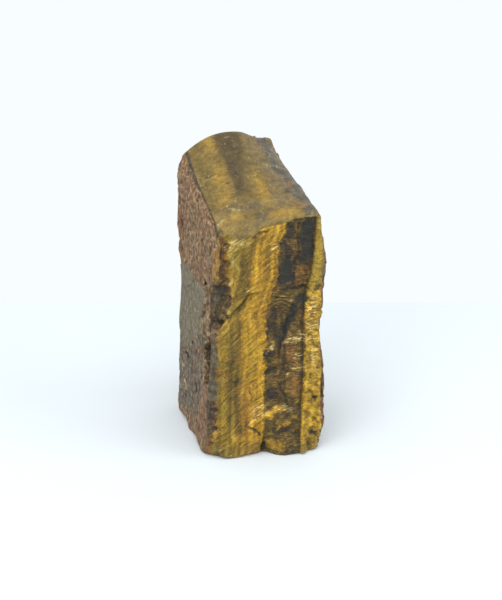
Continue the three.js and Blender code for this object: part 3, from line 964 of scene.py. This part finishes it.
sheet_tone = add_node(tree, noise, {"Vector": sheets, "Scale": 0.8, "Detail": 1.0, "Roughness": 0.5})
centred = add_node(tree, "ShaderNodeMath", {0: ragged, 1: 2.0, 2: -1.0}, operation="MULTIPLY_ADD")
toothed = add_node(tree, "ShaderNodeMath", {0: fine_streaks, 1: 2.4, 2: -1.2}, operation="MULTIPLY_ADD")
# The pattern of the painted sparkles: white specks painted in as highlights.
painted_sparks = add_node(tree, "ShaderNodeMath", {0: glints, 1: fine_streaks}, operation="MULTIPLY")
painted_sparks = add_node(tree, "ShaderNodeMath", {0: painted_sparks, 1: 1.7}, operation="MULTIPLY")
print("pattern nodes:", len(tree.nodes))

# %% Tones, mixed from the patterns

tones = {"grains": grains, "specks": specks, "painted_sparks": painted_sparks}
MIXES = {
    # tone: its starting value, then each pattern with its share
    "streaks": (-0.65, (fine_streaks, 0.8), (flake_tone, 0.18), (specks, 0.6), (sheet_tone, 0.7)),
    "dark_streaks": (-0.5, (fine_streaks, 0.9), (specks, 0.4), (smudges, 0.7)),
    "rough_tone": (-0.6, (specks, 0.5), (smudges, 1.3), (fine_streaks, 0.4)),
    "weathered": (-0.35, (grains, 1.0), (smudges, 0.7)),
    "worn_tone": (-0.38, (smudges, 1.0), (specks, 0.4), (fine_streaks, 0.36)),
}
for name, (tone, *patterns) in MIXES.items():
    for pattern, share in patterns:
        tone = add_node(tree, "ShaderNodeMath", {0: pattern, 1: share, 2: tone}, operation="MULTIPLY_ADD")
    tones[name] = tone
print("tones:", *tones)

# %% [markdown]
# ## Zones of the stone
#
# Fresh fibres are silky, roughness about 0.4, and the crust is dull, about 0.8. The first zone covers
# everything, and each later one is laid over it where its distance is above zero. The edges of the
# dark, olive and stained zones are torn along the fibres as well, as they are where quartz splits.

# %% Zones

ZONES = [
    # zone, tone, dark, middle and light colour, raggedness and softness in mm, most, roughness, bump
    ("olive_gold", "streaks", "#54420A", "#80690F", "#AA9132", 0.0, 1.0, 1.0, 0.42, 1.0),
    ("gold", "streaks", "#6A4806", "#A47D0E", "#D4A934", 2.0, 2.0, 1.0, 0.36, 1.0),
    ("greenish", "streaks", "#54440A", "#7E6B12", "#A68F30", 2.0, 2.0, 0.6, 0.42, 1.0),
    ("olive_and_painted_shade", "streaks", "#2A2408", "#4A3E0C", "#726420", 1.6, 1.2, 0.78, 0.45, 1.0),
    ("stained", "streaks", "#402806", "#80580E", "#B88A2C", 1.2, 0.6, 0.6, 0.38, 1.0),
    ("in_dark", "dark_streaks", "#241A08", "#4C390D", "#8C7024", 1.4, 0.4, 1.0, 0.4, 1.0),
    ("in_strip", "rough_tone", "#543F06", "#90700E", "#C8A034", 0.3, 0.12, 1.0, 0.34, 1.0),
    ("dull_strip", "streaks", "#4C3E0C", "#7C6414", "#A48A2E", 0.8, 0.8, 1.0, 0.5, 0.6),
    ("umber_and_painted_shade", "dark_streaks", "#0C0805", "#1E140A", "#4A3418", 1.4, 0.4, 0.85, 0.36, 0.8),
    ("charcoal", "rough_tone", "#090B0A", "#121513", "#26261E", 1.2, 0.3, 0.92, 0.45, 0.5),
    ("rust", "streaks", "#40260A", "#7C5018", "#AC8038", 1.6, 0.8, 0.5, 0.4, 1.0),
    ("pale_and_painted_highlight", "streaks", "#7C6C30", "#A89850", "#E6DCAC", 1.6, 0.6, 0.5, 0.35, 1.0),
    ("darker_near_foot", "dark_streaks", "#181208", "#40340F", "#807036", 1.8, 2.4, 0.5, 0.45, 1.0),
    ("section", "weathered", "#2C1E0E", "#7C5C30", "#A8844C", 0.8, 0.3, 0.9, 0.5, 1.0),
    ("scoop", "rough_tone", "#0E0A06", "#30251A", "#86682E", 0.8, 0.3, 0.92, 0.42, 1.0),
    ("rim", "streaks", "#3A240A", "#7E5418", "#B88A3A", 1.2, 0.4, 0.8, 0.4, 1.0),
    ("flake", "rough_tone", "#28261A", "#454030", "#645C44", 1.0, 0.5, 0.9, 0.5, 0.3),
    # painted sparkles: white specks painted in as highlights
    ("painted_sparkles", "painted_sparks", "#6A5014", "#A08434", "#FFFAE8", 2.0, 0.9, 0.45, 0.3, 1.0),
    ("worn", "worn_tone", "#463A16", "#6C5824", "#8C743A", 0.5, 0.2, 1.0, 0.46, 0.3),
    ("bright", "worn_tone", "#74581A", "#987626", "#B0903E", 2.0, 2.0, 0.75, 0.42, 0.2),
    ("faint_stripe", "worn_tone", "#4A3C1E", "#66542A", "#7C6838", 1.0, 1.2, 0.6, 0.38, 0.2),
    ("stripe", "worn_tone", "#2E2412", "#46381C", "#5E4C2A", 0.4, 0.7, 0.85, 0.38, 0.2),
    ("painted_haze_sheen", "worn_tone", "#4E422C", "#6F5D3B", "#8A774D", 2.0, 2.0, 0.7, 0.36, 0.2),
    ("painted_grey_sheen", "worn_tone", "#26241E", "#45423A", "#6A675E", 3.0, 1.4, 0.8, 0.36, 0.3),
    ("smudge", "worn_tone", "#3A3224", "#554834", "#6E6048", 2.0, 1.0, 0.7, 0.4, 0.3),
    ("pitted", "specks", "#141008", "#2A2216", "#4A3E2A", 1.0, 0.5, 0.6, 0.5, 0.8),
    ("orange", "specks", "#6A4820", "#8E6434", "#A88450", 1.0, 0.6, 0.6, 0.4, 0.6),
    ("veins", "specks", "#8E8658", "#AAA274", "#C4BE96", 0.4, 0.15, 0.55, 0.35, 0.5),
    ("edge_line", "worn_tone", "#0E0D08", "#1C1A12", "#34301F", 0.5, 0.3, 0.85, 0.45, 0.5),
    ("wall", "weathered", "#2A1E14", "#785E44", "#BC9C76", 0.6, 0.2, 1.0, 0.8, 1.0),
    ("blued", "weathered", "#24241D", "#504D43", "#8C8774", 3.4, 1.8, 0.8, 0.75, 1.0),
    ("rusty", "weathered", "#2A180C", "#74503A", "#AC8462", 2.0, 1.0, 0.55, 0.8, 1.0),
    ("plate", "weathered", "#423A29", "#665D47", "#90866B", 2.6, 1.2, 0.95, 0.7, 0.5),
    ("crevice_with_painted_shade", "grains", "#080503", "#281A06", "#846410", 1.6, 0.6, 0.95, 0.5, 1.0),
    ("wall_dark", "grains", "#0E0C0A", "#242019", "#4E4638", 1.0, 0.3, 0.85, 0.8, 1.0),
    ("beige", "specks", "#7A7054", "#A09674", "#C8C0A0", 0.8, 0.25, 0.7, 0.6, 0.6),
    ("in_rind", "weathered", "#22170E", "#5C4530", "#9A7856", 0.8, 0.3, 1.0, 0.65, 1.0),
    ("rind_grey", "weathered", "#24221C", "#565043", "#8A8470", 2.5, 1.4, 0.8, 0.7, 0.7),
    ("rind_rust", "weathered", "#2E1A0C", "#80502A", "#B08050", 2.0, 1.0, 0.65, 0.8, 1.0),
]
TORN_EDGES = {"in_dark", "charcoal", "stained", "olive_and_painted_shade"}
colour, finish = None, None
for name, tone, dark, middle, light, reach, softness, most, rough, bumps in ZONES:
    own_colour = add_node(
        tree, "ShaderNodeValToRGB", {"Fac": tones[tone]}, stops=((0.25, dark), (0.5, middle), (0.75, light))
    )
    own_finish = (rough, bumps, 0.0)
    if colour is None:
        colour, finish = own_colour, own_finish
        continue
    distance = add_node(tree, "ShaderNodeAttribute", {}, "Fac", attribute_name=name)
    moved = add_node(tree, "ShaderNodeMath", {0: centred, 1: reach, 2: distance}, operation="MULTIPLY_ADD")
    if name in TORN_EDGES:
        moved = add_node(tree, "ShaderNodeMath", {0: toothed, 1: reach, 2: moved}, operation="MULTIPLY_ADD")
    share = add_node(
        tree, "ShaderNodeMapRange", {0: moved, 1: -softness, 2: softness, 4: most},
        interpolation_type="SMOOTHSTEP",
    )
    colour = add_node(tree, "ShaderNodeMix", {0: share, 6: colour, 7: own_colour}, 2, data_type="RGBA")
    finish = add_node(tree, "ShaderNodeMix", {0: share, 4: finish, 5: own_finish}, 1, data_type="VECTOR")

print("zones:", len(ZONES), "and nodes:", len(tree.nodes))

# %% [markdown]
# ## Painted crease shade, painted edge highlights and painted glints
#
# Creases are darkened as painted shade and edges lightened a little as a painted highlight. Single cells
# of the fibre pattern are made glossy and are painted paler as painted glints, more of them in the painted
# sparkle patches, as small steps that happen to face the light are. The same patterns give a bump 0.3 mm
# deep, which stands for grain that is finer than the grid.

# %% Painted crease shade, painted edge highlights and painted glints

GLOSSY, GLINTS_FROM, BUMP_DEPTH = 0.16, 0.86, 0.3
# Painted shade in creases and a painted highlight on edges: the colour is darkened where a vertex sits below
# its neighbours and lightened where it stands out.
creases = add_node(tree, "ShaderNodeAttribute", {}, "Fac", attribute_name="hollow")
painted_crease_shade_and_edge_light = add_node(tree, "ShaderNodeMapRange", {0: creases, 1: -0.12, 2: 0.22, 3: 1.15, 4: 0.55})
colour = add_node(
    tree, "ShaderNodeMix", {0: 1.0, 6: colour, 7: painted_crease_shade_and_edge_light}, 2, data_type="RGBA", blend_type="MULTIPLY"
)
sparkle = add_node(tree, "ShaderNodeAttribute", {}, "Fac", attribute_name="painted_sparkles")
sparkle = add_node(tree, "ShaderNodeMapRange", {0: sparkle, 1: -0.6, 2: 0.3, 3: 0.03, 4: 0.42})
glint_from = add_node(tree, "ShaderNodeMath", {0: GLINTS_FROM, 1: sparkle}, operation="SUBTRACT")
glint = add_node(tree, "ShaderNodeMath", {0: glints, 1: glint_from}, operation="GREATER_THAN")
roughness, bumpiness = (
    add_node(tree, "ShaderNodeSeparateXYZ", {0: finish}, which) for which in ("X", "Y")
)
glint = add_node(tree, "ShaderNodeMath", {0: glint, 1: bumpiness}, operation="MULTIPLY")
roughness = add_node(tree, "ShaderNodeMix", {0: glint, 2: roughness, 3: GLOSSY})
# The glint cells are also painted paler: a painted glint highlight in the colour.
colour = add_node(
    tree, "ShaderNodeMix", {0: glint, 6: colour, 7: linear("#D8C890")}, 2,
    data_type="RGBA", blend_type="SOFT_LIGHT",
)
steps = add_node(tree, "ShaderNodeMath", {0: flake_tone, 1: 0.8, 2: fine_streaks}, operation="MULTIPLY_ADD")
steps = add_node(tree, "ShaderNodeMath", {0: grains, 1: 1.0, 2: steps}, operation="MULTIPLY_ADD")
steps = add_node(tree, "ShaderNodeMath", {0: glints, 1: 0.4, 2: steps}, operation="MULTIPLY_ADD")
height = add_node(tree, "ShaderNodeMath", {0: steps, 1: bumpiness}, operation="MULTIPLY")
normal = add_node(tree, "ShaderNodeBump", {"Strength": 0.8, "Distance": BUMP_DEPTH * MM, "Height": height})
tree.links.new(colour, shader.inputs["Base Color"])
tree.links.new(roughness, shader.inputs["Roughness"])
tree.links.new(normal, shader.inputs["Normal"])
shader.inputs["IOR"].default_value = 1.54
shader.inputs["Specular IOR Level"].default_value = 0.32
stone.data.materials.append(material)
print("material:", material.name, "with", len(tree.nodes), "nodes")

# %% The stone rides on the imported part

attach(stone, "root")
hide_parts(NODE)
print("riding on root:", stone.name, "in place of", NODE)

# %% [markdown]
# ## Floor, light and camera
#
# The stone stands on matt white paper that ends just behind it, so that the paper's edge shows as a
# faint line half way up. The world is an even, slightly cool white that fills the shadows, and three
# large softboxes, above, front left and right, give the soft shadows and the small glints.

# %% Floor

AZIMUTH = math.radians(-12)
FLOOR_BACK, FLOOR_REACH = 0.1145, 2.0
away = np.array((-math.sin(AZIMUTH), math.cos(AZIMUTH), 0))
aside = np.array((math.cos(AZIMUTH), math.sin(AZIMUTH), 0))
sides_and_depths = ((-1, -FLOOR_REACH), (1, -FLOOR_REACH), (1, FLOOR_BACK), (-1, FLOOR_BACK))
floor_corners = [side * FLOOR_REACH * aside + depth * away for side, depth in sides_and_depths]
floor_mesh = bpy.data.meshes.new("floor")
floor_mesh.from_pydata([tuple(corner) for corner in floor_corners], [], [(0, 1, 2, 3)])
floor = bpy.data.objects.new("floor", floor_mesh)
bpy.context.collection.objects.link(floor)
paper, _, paper_shader = new_material("white_matt_paper")
paper_shader.inputs["Base Color"].default_value = linear("#D7DDE1")
paper_shader.inputs["Roughness"].default_value = 0.8
floor.data.materials.append(paper)
print("floor reaches back, m:", FLOOR_BACK)

# %% Light

world = bpy.data.worlds.new("studio")
bpy.context.scene.world = world
world.use_nodes = True
background = world.node_tree.nodes["Background"]
background.inputs["Color"].default_value = linear("#F8FDFF")
seen = add_node(world.node_tree, "ShaderNodeLightPath", {}, "Is Camera Ray")
LIGHT_FROM_WORLD, SEEN_BY_CAMERA = 0.90, 1.0
strength = add_node(
    world.node_tree, "ShaderNodeMapRange", {0: seen, 3: LIGHT_FROM_WORLD, 4: SEEN_BY_CAMERA}
)
world.node_tree.links.new(strength, background.inputs["Strength"])


def softbox(name, place, aim, size, watts):
    """A square area light at a place in metres, facing a point, hidden from the camera."""
    data = bpy.data.lights.new(name, "AREA")
    data.size = size
    data.energy = watts
    lamp = bpy.data.objects.new(name, data)
    bpy.context.collection.objects.link(lamp)
    lamp.location = place
    towards = np.array(aim) - np.array(place)
    tilt = math.atan2(math.hypot(*towards[:2]), -towards[2])
    lamp.rotation_euler = (tilt, 0, math.atan2(towards[1], towards[0]) - math.pi / 2)
    lamp.visible_camera = False


softbox("overhead", (-0.10, -0.30, 0.75), (0, 0, 0.03), 0.70, 3.4)
softbox("front_left", (-0.45, -0.60, 0.35), (0, 0, 0.04), 0.50, 2.2)
softbox("right", (0.62, -0.36, 0.32), (0, 0, 0.04), 0.50, 2.0)
print("softboxes:", [light.name for light in bpy.data.lights])

# %% [markdown]
# ## Camera
#
# A long lens 600 mm away keeps the stone's upright edges nearly parallel. It looks down by 20 degrees,
# turned 12 degrees to the left, so that the front, the left wall and the top all show.

# %% Camera

ELEVATION, DISTANCE = math.radians(20), 0.600
TARGET = np.array((2.05, 7.1, 40)) * MM
camera_data = bpy.data.cameras.new("camera")
SENSOR, FRAME_HEIGHT, FRAME_PER_MM = 36, 600, 3.17
camera_data.sensor_width = SENSOR
camera_data.lens = SENSOR * FRAME_PER_MM * DISTANCE / MM / FRAME_HEIGHT
camera = bpy.data.objects.new("camera", camera_data)
bpy.context.collection.objects.link(camera)
level = math.cos(ELEVATION)
back_off = np.array((math.sin(AZIMUTH) * level, -math.cos(AZIMUTH) * level, math.sin(ELEVATION)))
camera.location = TARGET + DISTANCE * back_off
camera.rotation_euler = (math.pi / 2 - ELEVATION, 0, AZIMUTH)
bpy.context.scene.camera = camera
bpy.context.scene.view_settings.view_transform = "Standard"
print("camera at, m:", np.round(tuple(camera.location), 3), "lens, mm:", round(camera_data.lens, 1))
